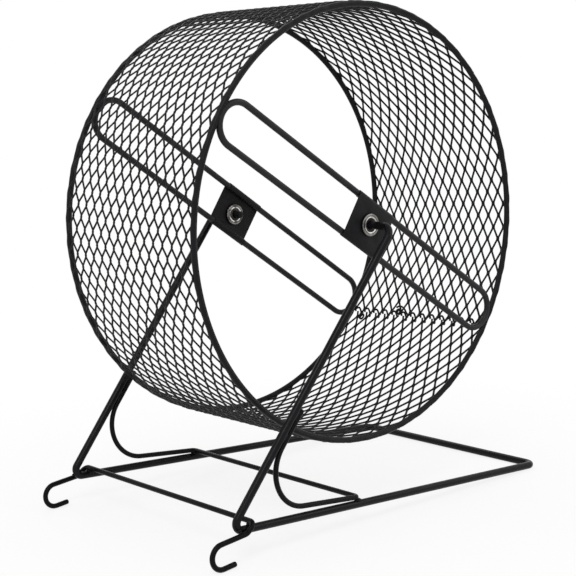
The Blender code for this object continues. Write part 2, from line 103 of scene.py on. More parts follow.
# Seam: its slant is in radians for each metre along the axle
SEAM_GAP = 0.0004
SEAM_DEGREES = -32.3
SEAM_ANGLE = math.radians(SEAM_DEGREES)
SEAM_SLANT = math.radians(-12.5)

# Hems
HEM_CENTRE = 0.13725
HEM_HALF_HEIGHT = 0.00162
HEM_HALF_WIDTH = 0.00192
HEM_FOLD = 0.00011
HEM_RIPPLE = 0.00006
HEM_RIPPLE_START = 0.9
HEM_TWIST = 0.00007
HEM_DRIFT = 0.00010
HEM_NOISE_RADIUS = 9.0
HEM_STEPS = 960
HEM_SIDES = 12

# Lacings: turns are counted from the front rim, and the hold bends each one sharply at its two ends
LACING_DIAMETER = 0.0076
LACING_WIRE = 0.0014
LACING_DEPTH = 0.0017
LACING_HOLD = 0.30
LACING_TURNS = 14
LACING_PITCH = DRUM_WIDTH / LACING_TURNS
LACING_SPANS = {"seam_lacing_front": (0.254, 8.75), "seam_lacing_rear": (9.25, 13.746)}
LACING_UNEVENNESS = 0.10
LACING_NOISE_STEP = 0.9
LACING_NOISE_PLACE = 7.0
LACING_STEPS_PER_TURN = 30
LACING_SIDES = 12

# Hubs
LOOP_WIRE = 0.0040
LOOP_SPACING = 0.0270
LOOP_REACH = 0.1350
LOOP_ANGLES = {"front": math.radians(-29.6), "rear": math.radians(-31.0)}
LOOP_END_STEPS = 36
PLATE_LENGTH = 0.0345
PLATE_THICKNESS = 0.0007
PLATE_CURL = math.radians(230)
PLATE_ROUNDING = 0.00018
PLATE_ROUNDED_ANGLE = math.radians(60)
CURL_STEPS = 26
CURL_CUTBACK = 0.0009
CURL_INNER = 0.002347
CURL_OUTER = CURL_INNER + PLATE_THICKNESS
GRIP_INNER = 0.00202
GRIP_OUTER = 0.00243
HUB_HOLE = 0.0045
HUB_HOLE_STEPS = 48
BUSHING_BORE = 0.0053
BUSHING_BARREL = 0.0084
BUSHING_FLANGE = 0.0144
BUSHING_MOUTH = 0.0094
BUSHING_STEPS = 80
BORE_CHAMFER = 0.0002
FLANGE_THICKNESS = 0.0012
INNER_FLANGE_ROUNDING = 0.00045
OUTER_FLANGE_ROUNDING = 0.00055
ROUNDING_STEPS = 5
MOUTH_DEPTH = 0.0011
MOUTH_CHAMFER = 0.0003
# The turned edge of the mouth: out from its radius, and in from the flange's face
MOUTH_EDGE = ((0.0012, 0.0), (0.0009, 0.00018), (0.0006, 0.00003), (0.00015, 0.0), (-0.0001, 0.00022))

# Stand: reaches are from the axle along x, and spreads from the middle plane. It tilts until its
# hooks and its rear crossing rest on the floor
STANCE_TILT = math.radians(3.6134)
BASE_WIRE = 0.0050
AXLE_HEIGHT = 0.1726
FOOT_REACH = 0.1234
TAIL_REACH = 0.1539
AXLE_SPREAD = 0.0882
FOOT_SPREAD = 0.0839
TAIL_SPREAD = 0.0820
STUB_END = 0.0588
STUB_BEND = 0.0085
FOOT_BEND = 0.0045
TAIL_BEND = 0.0065

# Thin wires of the stand
THIN_WIRE = 0.0033
CLEARANCE = 0.0003
CROSSING_HEIGHT = BASE_WIRE / 2 + CLEARANCE + THIN_WIRE / 2
HOOK_SPREAD = FOOT_SPREAD + CROSSING_HEIGHT
HOOK_CROSSING_REACH = 0.1088
HOOK_BEND = 0.0043
HOOK_KNEE_REACH = 0.1145
HOOK_KNEE_BEND = 0.0060
HOOK_CURL_REACH = 0.1326
HOOK_CURL_DROP = 0.0115
HOOK_CURL_RADIUS = 0.0074
HOOK_CURL_STEPS = 40
HOOK_TIP = 0.0090
HOOK_ARM_SLOPE = math.radians(9.7)
HOOK_TURN = math.radians(179.8)
BRACE_TOP = 0.0660
BRACE_BEND = 0.0246
BRACE_CROSSING_REACH = 0.0205
BRACE_CORNER = 0.0030
BRACE_SLOPE = math.radians(2.5)

# Drawn wires are round, as wide as the faceted solids' wires from corner to corner
WIRE_SIDES = 20
BEND_STEPS_PER_TURN = 96
SMOOTH_STEPS = 8
# Rounding of a wire's cut end: distance from it and radius there, in shares of the wire's radius
CUT_END = ((0.0, 0.30), (0.06, 0.62), (0.22, 0.86), (0.50, 0.97), (0.85, 1.0))

# Weld beads: half of their length along the wire, of their width and of their height
HOOK_BEAD = (0.0023, 0.0021, 0.0011)
BRACE_BEAD = (0.0026, 0.0021, 0.0011)
LEG_BEAD = (0.0036, 0.0015, 0.0011)
FOOT_BEAD = (0.0019, 0.0008, 0.0010)
RIM_BEAD = (0.0036, 0.0016, 0.0011)
LEG_BEAD_DROPS = (0.0042, 0.0165)
FOOT_BEAD_SETBACK = 0.0046
FOOT_BEAD_HEIGHT = 0.0006
RIM_BEAD_RADIUS = 0.1352
RIM_BEAD_INSET = 0.0001
RIM_BEAD_STEP = 0.036
BEAD_UNEVENNESS = 0.16
BEAD_NOISE_SCALE = 1.7

# Angles between faces above which an edge is drawn sharp
SHARP_ANGLE = math.radians(50)
PLATE_SHARP_ANGLE = math.radians(40)
BUSHING_SHARP_ANGLE = math.radians(32)

# The stretched mesh runs a little askew. Degrees round the drum, then on its middle line there:
# half columns ahead of an even spacing, half rows, and half rows per metre across
MESH_DRIFT = (
    (SEAM_DEGREES, 0.00, 13.5, 215),
    (-20.0, -0.08, 12.55, 216),
    (0.0, -0.20, 12.1, 216),
    (25.0, -0.40, 11.7, 216),
    (60.0, -0.63, 10.1, 214),
    (100.0, -0.61, 7.2, 224),
    (138.0, -0.41, 3.5, 234),
    (165.0, -0.24, 2.0, 224),
    (195.0, -0.17, 0.7, 222),
    (222.0, -0.13, 0.1, 229),
    (263.0, 0.07, 0.8, 220),
    (290.0, -0.03, 0.95, 214),
    (310.0, -0.18, 0.7, 213),
    (SEAM_DEGREES + 360, 0.00, 1.75, 218),
)
COLUMNS_AHEAD, MIDDLE_ROW, ROWS_PER_METRE = 1, 2, 3
FIRST_COLUMN = 0.58
COLUMNS_ROUND = 107.9
COLUMNS_PER_METRE_ACROSS = 6.2
LAST_COLUMN = 109
BANDS = range(-16, 29)
TRACK_STEP = 0.5
TRACK_MARGIN = 6.0
PLACING_ROUNDS = 4

AXLE = Matrix.Translation(frame["joints"][0]["pos_m"]) @ Matrix.Rotation(STANCE_TILT, 4, "Y")
STANCE = AXLE @ Matrix.Translation((0, 0, -AXLE_HEIGHT))
LOW, HIGH = (Vector(corner) for corner in cad_box)
ALONG, ACROSS, UP = Vector((1, 0, 0)), Vector((0, 1, 0)), Vector((0, 0, 1))


# Shader nodes

def set_inputs(tree, node, inputs):
    """Sets inputs of a node, each to a plain value or by a link to a socket."""
    for key, value in inputs.items():
        if isinstance(value, bpy.types.NodeSocket):
            tree.links.new(value, node.inputs[key])
        else:
            node.inputs[key].default_value = value


def add_node(tree, kind, inputs, **settings):
    node = tree.nodes.new(kind)
    for key, value in settings.items():
        setattr(node, key, value)
    set_inputs(tree, node, inputs)
    return node


def new_material(name):
    """A material, its node tree, its shader and the place on the surface, in metres."""
    material = bpy.data.materials.new(name)
    material.use_nodes = True
    tree = material.node_tree
    place = add_node(tree, "ShaderNodeTexCoord", {}).outputs["Object"]
    return material, tree, tree.nodes["Principled BSDF"], place


def noise_node(tree, place, scale, detail, dimensions="3D"):
    inputs = {"W" if dimensions == "1D" else "Vector": place, "Scale": scale, "Detail": detail}
    return add_node(tree, "ShaderNodeTexNoise", inputs, noise_dimensions=dimensions).outputs["Fac"]


def range_node(tree, source, span, to_span=(0.0, 1.0)):
    inputs = {
        "Value": source,
        "From Min": span[0],
        "From Max": span[1],
        "To Min": to_span[0],
        "To Max": to_span[1],
    }
    return add_node(tree, "ShaderNodeMapRange", inputs).outputs["Result"]


def maths_node(tree, operation, first, second):
    return add_node(tree, "ShaderNodeMath", {0: first, 1: second}, operation=operation).outputs[0]


def vector_node(tree, operation, first, second):
    return add_node(tree, "ShaderNodeVectorMath", {0: first, 1: second}, operation=operation).outputs[0]


def length_node(tree, vector):
    return add_node(tree, "ShaderNodeVectorMath", {0: vector}, operation="LENGTH").outputs["Value"]


def full_colour(colour):
    """A colour as a node takes it, from three numbers or from a socket."""
    return (*colour, 1.0) if isinstance(colour, tuple) else colour


def mix_colours(tree, factor, first, second):
    inputs = {0: factor, 6: full_colour(first), 7: full_colour(second)}
    return add_node(tree, "ShaderNodeMix", inputs, data_type="RGBA").outputs[2]


def mix_shaders(tree, factor, first, second):
    return add_node(tree, "ShaderNodeMixShader", {0: factor, 1: first, 2: second}).outputs[0]


def bump_node(tree, height, strength, distance, under=None):
    inputs = {"Height": height, "Strength": strength, "Distance": distance}
    if under is not None:
        inputs["Normal"] = under
    return add_node(tree, "ShaderNodeBump", inputs).outputs["Normal"]


# Powder coat. A noise is its scale per metre and its detail, a fade the part of the noise over which
# an effect sets in, and a bump its strength and its height in metres
PATCH_NOISE = (90.0, 3.0)
PATCH_FADE = (0.35, 0.70)
PATCH_SHADE = 0.72
SPECK_NOISE = (1500.0, 2.0)
SPECK_FADE = (0.62, 0.74)
SHEEN_NOISE = (260.0, 3.0)
SHEEN_FADE = (0.3, 0.7)
SHEEN_SPREAD = (-0.07, 0.09)
LUMP_NOISE = (420.0, 1.0)
LUMP_BUMP = (0.35, 0.00012)
PEEL_NOISE = (2600.0, 2.0)
PEEL_BUMP = (0.30, 0.00005)
DUST = (0.019, 0.018, 0.021)
# Colour, roughness and specular level of each coat
COATS = {
    "frame_coat": ((0.0051, 0.0046, 0.0059), 0.30, 0.12),
    "hook_coat": ((0.0040, 0.0036, 0.0047), 0.30, 0.07),
    "brace_coat": ((0.0040, 0.0036, 0.0047), 0.31, 0.09),
    "rim_coat": ((0.0058, 0.0052, 0.0068), 0.36, 0.14),
    "mesh_coat": ((0.0048, 0.0043, 0.0056), 0.44, 0.15),
    "lacing_coat": ((0.0040, 0.0037, 0.0046), 0.42, 0.12),
    # The loops' coat is lighter than the others as a painted sheen; its higher specular level is real gloss
    "loop_coat": ((0.0090, 0.0080, 0.0100), 0.42, 0.24),
    "plate_coat": ((0.0046, 0.0041, 0.0054), 0.48, 0.16),
}


def powder_coat(name, colour, roughness, gloss):
    """Black powder coat: lumps under a fine orange peel, an uneven sheen, darker patches and dust."""
    material, tree, shader, place = new_material(name)
    shade = tuple(PATCH_SHADE * part for part in colour)
    patches = range_node(tree, noise_node(tree, place, *PATCH_NOISE), PATCH_FADE)
    specks = range_node(tree, noise_node(tree, place, *SPECK_NOISE), SPECK_FADE)
    base = mix_colours(tree, patches, colour, shade)
    sheen = noise_node(tree, place, *SHEEN_NOISE)
    sheen_span = [roughness + part for part in SHEEN_SPREAD]
    lumps = bump_node(tree, noise_node(tree, place, *LUMP_NOISE), *LUMP_BUMP)
    set_inputs(tree, shader, {
        "Base Color": mix_colours(tree, specks, base, DUST),
        "Roughness": range_node(tree, sheen, SHEEN_FADE, sheen_span),
        "Normal": bump_node(tree, noise_node(tree, place, *PEEL_NOISE), *PEEL_BUMP, lumps),
        "Specular IOR Level": gloss,
    })
    return material


# Turned nickel. Shares of the flange's radius and the colour there, from the bore outward: the bore painted
# dark as shade, then the plated metal in bands of painted highlight and painted dark reflection
RING_PAINTED_LIGHT_BANDS = (
    (0.0, (0.010, 0.010, 0.010)),
    (0.615, (0.014, 0.013, 0.012)),
    (0.64, (0.80, 0.79, 0.75)),
    (0.725, (0.88, 0.87, 0.84)),
    (0.75, (0.06, 0.058, 0.053)),
    (0.79, (0.04, 0.039, 0.036)),
    (0.825, (0.24, 0.235, 0.22)),
    (0.93, (0.31, 0.302, 0.28)),
    (1.0, (0.14, 0.137, 0.128)),
)
# Edge of the bore's painted dark shade, where the surface also turns metallic and smoother
BORE_SHADE_EDGE = (0.615, 0.635)
SHADED_BORE_ROUGHNESS = 0.6
POLISH_FADE = (0.3, 0.7)
POLISH_ROUGHNESS = (0.20, 0.38)
TURNING_NOISE = (5200.0, 2.0)
TURNING_BUMP = (0.25, 0.00006)
TARNISH = (0.07, 0.066, 0.06)
TARNISH_NOISE = (330.0, 3.0)
TARNISH_FADE = (0.44, 0.58)
# From the front bushing to the rear one, which gets more of the dark patches
REAR_DARKENING_SPAN = (-0.05, 0.05)
REAR_DARKENING_SHARES = (0.45, 0.97)
PITS = (0.03, 0.028, 0.026)
PIT_NOISE = (1500.0, 2.0)
PIT_FADE = (0.64, 0.72)


def axle_distance(tree, place):
    """Distance of a place on the surface from the axle."""
    centred = vector_node(tree, "SUBTRACT", place, AXLE.translation)
    return length_node(tree, vector_node(tree, "MULTIPLY", centred, ALONG + UP))


# Colours by radius: painted highlights and painted dark reflections on the flange, and painted shade in the
# bore
def ring_painted_light(tree, share):
    ramp = add_node(tree, "ShaderNodeValToRGB", {"Fac": share})
    elements = ramp.color_ramp.elements
    elements.remove(elements[1])
    elements[0].color = full_colour(RING_PAINTED_LIGHT_BANDS[0][1])
    for position, colour in RING_PAINTED_LIGHT_BANDS[1:]:
        elements.new(position).color = full_colour(colour)
    return ramp.outputs["Color"]


def turned_nickel(name):
    """Plated turning: a bore painted dark as shade, bands of painted highlight and painted dark reflection
    round the axle, fine turned rings in the bump, patches of tarnish and a few dark pits.
    """
    material, tree, shader, place = new_material(name)
    distance = axle_distance(tree, place)
    share = range_node(tree, distance, (0.0, BUSHING_FLANGE / 2))
    tarnish = noise_node(tree, place, *TARNISH_NOISE)
    patches = range_node(tree, tarnish, TARNISH_FADE)
    depth = add_node(tree, "ShaderNodeSeparateXYZ", {0: place}).outputs["Y"]
    patch_weight = maths_node(tree, "MULTIPLY", patches, range_node(tree, depth, REAR_DARKENING_SPAN, REAR_DARKENING_SHARES))
    metal = mix_colours(tree, patch_weight, ring_painted_light(tree, share), TARNISH)
    pits = range_node(tree, noise_node(tree, place, *PIT_NOISE), PIT_FADE)
    polish = range_node(tree, tarnish, POLISH_FADE, POLISH_ROUGHNESS)
    # The bore, painted dark as shade, is also made rough and not metallic
    bore_roughness = range_node(tree, share, BORE_SHADE_EDGE, (SHADED_BORE_ROUGHNESS, 0.0))
    turning = noise_node(tree, distance, *TURNING_NOISE, dimensions="1D")
    set_inputs(tree, shader, {
        "Base Color": mix_colours(tree, pits, metal, PITS),
        "Metallic": range_node(tree, share, BORE_SHADE_EDGE),
        "Roughness": maths_node(tree, "ADD", polish, bore_roughness),
        "Normal": bump_node(tree, turning, *TURNING_BUMP),
    })
    return material


MATERIALS = {name: powder_coat(name, *look) for name, look in COATS.items()}
MATERIALS["bushing_metal"] = turned_nickel("bushing_metal")


# Shared shapes

def heading(angle):
    """Unit vector at an angle in the wheel's plane."""
    return Vector((math.cos(angle), 0, math.sin(angle)))


def drum_place(angle, y, radius):
    return Vector((radius * math.cos(angle), y, radius * math.sin(angle)))


def corner_arc(before, corner, after, radius):
    """Points of the arc that rounds one corner of a path."""
    back = (before - corner).normalized()
    ahead = (after - corner).normalized()
    opening = back.angle(ahead)
    setback = radius / math.tan(opening / 2)
    centre = corner + (back + ahead).normalized() * (radius / math.sin(opening / 2))
    start = corner + back * setback - centre
    end = corner + ahead * setback - centre
    turn = math.pi - opening
    steps = max(2, math.ceil(turn / math.tau * BEND_STEPS_PER_TURN))
    points = []
    for step in range(steps + 1):
        part = step / steps * turn
        mix = start * math.sin(turn - part) + end * math.sin(part)
        points.append(centre + mix / math.sin(turn))
    return points


def rounded_path(corners, radii):
    """A path whose corners between its two ends are rounded, each by its own radius."""
    points = [corners[0]]
    for index, radius in enumerate(radii, start=1):
        points.extend(corner_arc(corners[index - 1], corners[index], corners[index + 1], radius))
    points.append(corners[-1])
    return points


def smooth_path(points):
    """A rounded path through all of the points."""
    path = []
    for index in range(len(points) - 1):
        before = points[max(index - 1, 0)]
        first, second = points[index], points[index + 1]
        after = points[min(index + 2, len(points) - 1)]
        for step in range(SMOOTH_STEPS):
            t = step / SMOOTH_STEPS
            path.append(0.5 * (
                2 * first + (second - before) * t
                + (2 * before - 5 * first + 4 * second - after) * t ** 2
                + (3 * first - before - 3 * second + after) * t ** 3
            ))
    return path + [points[-1]]


def domed_ends(path, radius):
    """The path with extra points at both ends, and a radius for each, so that the ends are rounded."""
    first = (path[1] - path[0]).normalized()
    last = (path[-2] - path[-1]).normalized()
    start = [(path[0] + first * radius * along, radius * share) for along, share in CUT_END]
    end = [(path[-1] + last * radius * along, radius * share) for along, share in reversed(CUT_END)]
    rows = start + [(point, radius) for point in path[1:-1]] + end
    return [row[0] for row in rows], [row[1] for row in rows]


def skin_rings(bm, rings, closed=False):
    """Joins each ring of points to the next, and then the last to the first or, left open, caps both."""
    pairs = list(zip(rings, rings[1:]))
    if closed:
        pairs.append((rings[-1], rings[0]))
    for first, second in pairs:
        for index in range(len(first)):
            after = (index + 1) % len(first)
            bm.faces.new((first[index], first[after], second[after], second[index]))
    if not closed:
        bm.faces.new(rings[0])
        bm.faces.new(rings[-1])


def add_tube(bm, path, radii, sides, facing, closed=False):
    """A round tube along a path, its rings carried on without twist."""
    count = len(path)
    rings = []
    normal = Vector(facing)
    tangent = None
    for index, point in enumerate(path):
        before = path[index - 1] if closed or index > 0 else path[0]
        after = path[(index + 1) % count] if closed or index < count - 1 else path[-1]
        along = (after - before).normalized()
        if tangent is not None:
            normal = tangent.rotation_difference(along) @ normal
        tangent = along
        normal = (normal - along * normal.dot(along)).normalized()
        across = along.cross(normal)
        ring = []
        for side in range(sides):
            angle = math.tau * side / sides
            offset = (normal * math.cos(angle) + across * math.sin(angle)) * radii[index]
            ring.append(bm.verts.new(point + offset))
        rings.append(ring)
    skin_rings(bm, rings, closed)


def add_bead(bm, centre, axes, size, seed):
    """A weld bead: a small lump with an uneven skin."""
    halves = [axis * half for axis, half in zip(axes, size)]
    for vert in bmesh.ops.create_icosphere(bm, subdivisions=3, radius=1.0)["verts"]:
        uneven = noise.noise(vert.co * BEAD_NOISE_SCALE + Vector((seed, 0.0, seed)))
        spot = vert.co * (1.0 + BEAD_UNEVENNESS * uneven)
        vert.co = centre + halves[0] * spot.x + halves[1] * spot.y + halves[2] * spot.z


def keep_inside(bm):
    """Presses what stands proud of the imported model's box flat against it."""
    for vert in bm.verts:
        for axis in range(3):
            vert.co[axis] = min(max(vert.co[axis], LOW[axis]), HIGH[axis])


def finish_piece(name, bm, place, body, slot, nodes=(), sharp=SHARP_ANGLE):
    """Turns a mesh into a piece: in its place, with its material, tied to its body, and with any solids it
    replaces hidden.
    """
    bmesh.ops.transform(bm, matrix=place, verts=bm.verts)
    keep_inside(bm)
    bmesh.ops.recalc_face_normals(bm, faces=bm.faces)
    mesh = bpy.data.meshes.new(name)
    bm.to_mesh(mesh)
    bm.free()
    mesh.shade_smooth()
    mesh.set_sharp_from_angle(angle=sharp)
    mesh.materials.append(MATERIALS[slot])
    piece = bpy.data.objects.new(name, mesh)
    bpy.context.scene.collection.objects.link(piece)
    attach(piece, body)
    if nodes:
        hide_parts(*nodes)


def stand_wire(name, half, diameter, slot, nodes):
    """A wire of the stand, from the path of its one half, which ends on the middle plane."""
    mirrored = [Vector((point.x, -point.y, point.z)) for point in reversed(half[:-1])]
    points, radii = domed_ends(half + mirrored, diameter / 2)
    bm = bmesh.new()
    add_tube(bm, points, radii, WIRE_SIDES, UP)
    finish_piece(name, bm, STANCE, "stand", slot, nodes)


def wheel_wire(name, path, diameter, slot, nodes):
    """A closed wire of the wheel."""
    bm = bmesh.new()
    add_tube(bm, path, [diameter / 2] * len(path), WIRE_SIDES, ACROSS, closed=True)
    finish_piece(name, bm, AXLE, "wheel", slot, nodes)


# Stand

def leg_spread(height):
    return FOOT_SPREAD + (AXLE_SPREAD - FOOT_SPREAD) * height / AXLE_HEIGHT


def runner_spread(reach):
    """Distance of a runner from the middle plane, by how far it lies towards the hooks."""
    share = (FOOT_REACH - reach) / (FOOT_REACH + TAIL_REACH)
    return FOOT_SPREAD + (TAIL_SPREAD - FOOT_SPREAD) * share


def leg_axes():
    """Unit vectors up a leg and square to it, down towards the runner."""
    leg = Vector((FOOT_REACH, 0, AXLE_HEIGHT)).normalized()
    return leg, Vector((leg.z, 0, -leg.x))


def main_frame():
    corners = [
        Vector((0, STUB_END, AXLE_HEIGHT)),
        Vector((0, AXLE_SPREAD, AXLE_HEIGHT)),
        Vector((-FOOT_REACH, FOOT_SPREAD, 0)),
        Vector((TAIL_REACH, TAIL_SPREAD, 0)),
        Vector((TAIL_REACH, 0, 0)),
    ]
    half = rounded_path(corners, [STUB_BEND, FOOT_BEND, TAIL_BEND])
    stand_wire("stand_main_wire", half, BASE_WIRE, "frame_coat", ["main_frame_wire"])


def hook_curl():
    """The curl of one hook, from the end of its arm round to its tip."""
    centre = Vector((-HOOK_CURL_REACH, HOOK_SPREAD, -HOOK_CURL_DROP))
    points = []
    for step in range(HOOK_CURL_STEPS + 1):
        angle = math.pi / 2 + HOOK_ARM_SLOPE + HOOK_TURN * step / HOOK_CURL_STEPS
        points.append(centre + heading(angle) * HOOK_CURL_RADIUS)
    points.append(points[-1] + heading(HOOK_ARM_SLOPE + HOOK_TURN - math.pi) * HOOK_TIP)
    return points


def hooks():
    curl = hook_curl()
    knee_drop = (HOOK_CURL_REACH - HOOK_KNEE_REACH) * math.tan(HOOK_ARM_SLOPE)
    knee = Vector((-HOOK_KNEE_REACH, HOOK_SPREAD, curl[0].z + knee_drop))
    crossing = Vector((-HOOK_CROSSING_REACH, 0, CROSSING_HEIGHT))
    corner = Vector((-HOOK_CROSSING_REACH, HOOK_SPREAD, CROSSING_HEIGHT))
    arm = rounded_path([crossing, corner, knee, curl[0]], [HOOK_BEND, HOOK_KNEE_BEND])
    half = list(reversed(arm[:-1] + curl))
    stand_wire("stand_hook_wire", half, THIN_WIRE, "hook_coat", ["hook_wire"])


def brace_points():
    """Corners of one half of the brace wire: its end on the leg, the knee and the crossing's corner."""
    leg, out = leg_axes()
    start = Vector((-FOOT_REACH, 0, 0)) + out * CROSSING_HEIGHT
    fall = math.tan(BRACE_SLOPE)
    corner = Vector((-BRACE_CROSSING_REACH, 0, CROSSING_HEIGHT))
    along = (corner.z - start.z - (start.x - corner.x) * fall) / (leg.z + leg.x * fall)
    knee = start + leg * along
    top = start + leg * ((BRACE_TOP - start.z) / leg.z)
    top.y = leg_spread(top.z)
    knee.y = leg_spread(knee.z)
    corner.y = runner_spread(BRACE_CROSSING_REACH)
    return top, knee, corner


def brace():
    top, knee, corner = brace_points()
    crossing = Vector((corner.x, 0, corner.z))
    half = rounded_path([top, knee, corner, crossing], [BRACE_BEND, BRACE_CORNER])
    stand_wire("stand_brace_wire", half, THIN_WIRE, "brace_coat", ["brace_wire"])


def stand_welds():
    """Beads where the thin wires lie on the thick one."""
    bm = bmesh.new()
    leg, out = leg_axes()
    top = brace_points()[0]
    crossings = ((HOOK_CROSSING_REACH, HOOK_BEAD, 1.0), (BRACE_CROSSING_REACH, BRACE_BEAD, 2.0))
    for side in (-1, 1):
        for reach, size, seed in crossings:
            spot = Vector((-reach, side * runner_spread(reach), BASE_WIRE / 2 + CLEARANCE / 2))
            add_bead(bm, spot, (ALONG, ACROSS, UP), size, seed + side)
        for seed, drop in enumerate(LEG_BEAD_DROPS, start=4):
            height = BRACE_TOP - drop
            spot = top + leg * ((height - top.z) / leg.z) - out * (THIN_WIRE / 2 + CLEARANCE / 2)
            spot.y = side * leg_spread(height)
            add_bead(bm, spot, (leg, ACROSS, out), LEG_BEAD, seed + side)
        spread = FOOT_SPREAD + BASE_WIRE / 2 + CLEARANCE / 2
        spot = Vector((FOOT_BEAD_SETBACK - FOOT_REACH, side * spread, FOOT_BEAD_HEIGHT))
        add_bead(bm, spot, (ALONG, ACROSS, UP), FOOT_BEAD, 7.0 + side)
    finish_piece("stand_weld_beads", bm, STANCE, "stand", "frame_coat")


# Drum

def drift_slopes(field):
    slopes = []
    for index in range(len(MESH_DRIFT)):
        low = MESH_DRIFT[max(index - 1, 0)]
        high = MESH_DRIFT[min(index + 1, len(MESH_DRIFT) - 1)]
        slopes.append((high[field] - low[field]) / (high[0] - low[0]))
    return slopes


DRIFT_ANGLES = [row[0] for row in MESH_DRIFT]
DRIFT_SLOPES = {field: drift_slopes(field) for field in (COLUMNS_AHEAD, MIDDLE_ROW, ROWS_PER_METRE)}


def drift_value(field, degrees):
    """A field of the drift table at any angle, on a smooth curve through the table's rows."""
    index = min(max(bisect(DRIFT_ANGLES, degrees) - 1, 0), len(MESH_DRIFT) - 2)
    low, high = MESH_DRIFT[index], MESH_DRIFT[index + 1]
    span = high[0] - low[0]
    along = (degrees - low[0]) / span
    slopes = DRIFT_SLOPES[field]
    cubed, squared = along ** 3, along ** 2
    return (
        low[field] * (2 * cubed - 3 * squared + 1) + high[field] * (3 * squared - 2 * cubed)
        + span * (slopes[index] * (cubed - 2 * squared + along) + slopes[index + 1] * (cubed - squared))
    )


def mesh_column(degrees):
    """Half columns from the seam to an angle on the drum's middle line."""
    even = COLUMNS_ROUND * (degrees - SEAM_DEGREES) / 360
    return FIRST_COLUMN + even + drift_value(COLUMNS_AHEAD, degrees)


TRACK_COUNT = round((360 + 2 * TRACK_MARGIN) / TRACK_STEP) + 1
TRACK = [SEAM_DEGREES - TRACK_MARGIN + TRACK_STEP * step for step in range(TRACK_COUNT)]
TRACK_COLUMNS = [mesh_column(degrees) for degrees in TRACK]


def column_degrees(column):
    """The angle on the drum's middle line at which a half column lies."""
    index = min(max(bisect(TRACK_COLUMNS, column) - 1, 0), TRACK_COUNT - 2)
    low, high = TRACK_COLUMNS[index], TRACK_COLUMNS[index + 1]
    return TRACK[index] + TRACK_STEP * (column - low) / (high - low)


def mesh_place(column, row):
    """Angle and y of a point of the stretched mesh, by half columns and half rows."""
    y = 0.0
    for _ in range(PLACING_ROUNDS):
        degrees = column_degrees(column - COLUMNS_PER_METRE_ACROSS * y)
        y = (row - drift_value(MIDDLE_ROW, degrees)) / drift_value(ROWS_PER_METRE, degrees)
    return math.radians(degrees), y


def seam_angle(y):
    return SEAM_ANGLE + SEAM_SLANT * y


def knuckle_drift(column, row):
    """How far a knuckle lies off its even place, in half columns and half rows."""
    steps = KNUCKLE_NOISE_STEPS
    spot = Vector((column * steps[0], row * steps[1], KNUCKLE_NOISE_PLACE))
    return noise.noise(spot) * KNUCKLE_DRIFT[0], noise.noise(spot + ROW_NOISE_SHIFT) * KNUCKLE_DRIFT[1]


def band_points(band):
    """One zigzag wire of the mesh, as rows of angle, y, thickness and rise from the mesh's middle."""
    knuckle = (
        (-KNUCKLE_HALF, KNUCKLE_LEAN, KNUCKLE_END_THICKNESS),
        (0.0, 0.0, KNUCKLE_THICKNESS),
        (KNUCKLE_HALF, KNUCKLE_LEAN, KNUCKLE_END_THICKNESS),
    )
    rows = []
    for column in range(LAST_COLUMN + 1):
        high = (column + band) % 2
        row = band + high
        along, across = knuckle_drift(column, row)
        inward = -1 if high else 1
        centre = row + across + inward * KNUCKLE_SETBACK
        for offset, lean, thickness in knuckle:
            place = mesh_place(column + along + offset, centre + inward * lean)
            rows.append((*place, thickness, inward * STRAND_STAGGER))
    return rows


def overshoot(point):
    """How far a mesh point lies beyond the hems or the seam, in metres, or below zero inside."""
    angle, y = point[:2]
    start = seam_angle(y) + SEAM_GAP / 2 / MESH_MIDDLE
    end = seam_angle(y) + math.tau - SEAM_GAP / 2 / MESH_MIDDLE
    beyond_seam = max((start - angle) * MESH_MIDDLE, (angle - end) * MESH_MIDDLE)
    return max(abs(y) - RIM_PLANE - MESH_OVERLAP, beyond_seam)


def cut_runs(points):
    """The parts of a mesh wire that lie on the drum, each cut off cleanly at its edges."""
    runs = [[]]
    for before, after in zip(points, points[1:]):
        low, high = overshoot(before), overshoot(after)
        if low <= 0 and not runs[-1]:
            runs[-1].append(before)
        if (low > 0) != (high > 0):
            part = low / (low - high)
            runs[-1].append(tuple(a + (b - a) * part for a, b in zip(before, after)))
            if high > 0:
                runs.append([])
        if high <= 0:
            runs[-1].append(after)
    return [run for run in runs if len(run) > 2]


def add_strand(bm, rows):
    """A flattened strand that follows the drum's curve, tilted as stretched mesh is."""
    path = []
    for angle, y, _, rise in rows:
        sink = max(0.0, abs(y) - RIM_PLANE + SINK_REACH) * SINK_SLOPE
        path.append(drum_place(angle, y, STRAND_CENTRE + rise - sink))
    rings = []
    for index, point in enumerate(path):
        before = path[max(index - 1, 0)]
        after = path[min(index + 1, len(path) - 1)]
        along = (after - before).normalized()
        out = Vector((point.x, 0, point.z)).normalized()
        broad = ACROSS * math.cos(STRAND_TILT) + out * math.sin(STRAND_TILT)
        broad = (broad - along * broad.dot(along)).normalized()
        thin = along.cross(broad)
        ring = []
        for side in range(STRAND_SIDES):
            turn = math.tau * side / STRAND_SIDES
            offset = broad * math.cos(turn) * STRAND_BROAD + thin * math.sin(turn) * STRAND_THIN
            ring.append(bm.verts.new(point + offset * rows[index][2]))
        rings.append(ring)
    skin_rings(bm, rings)


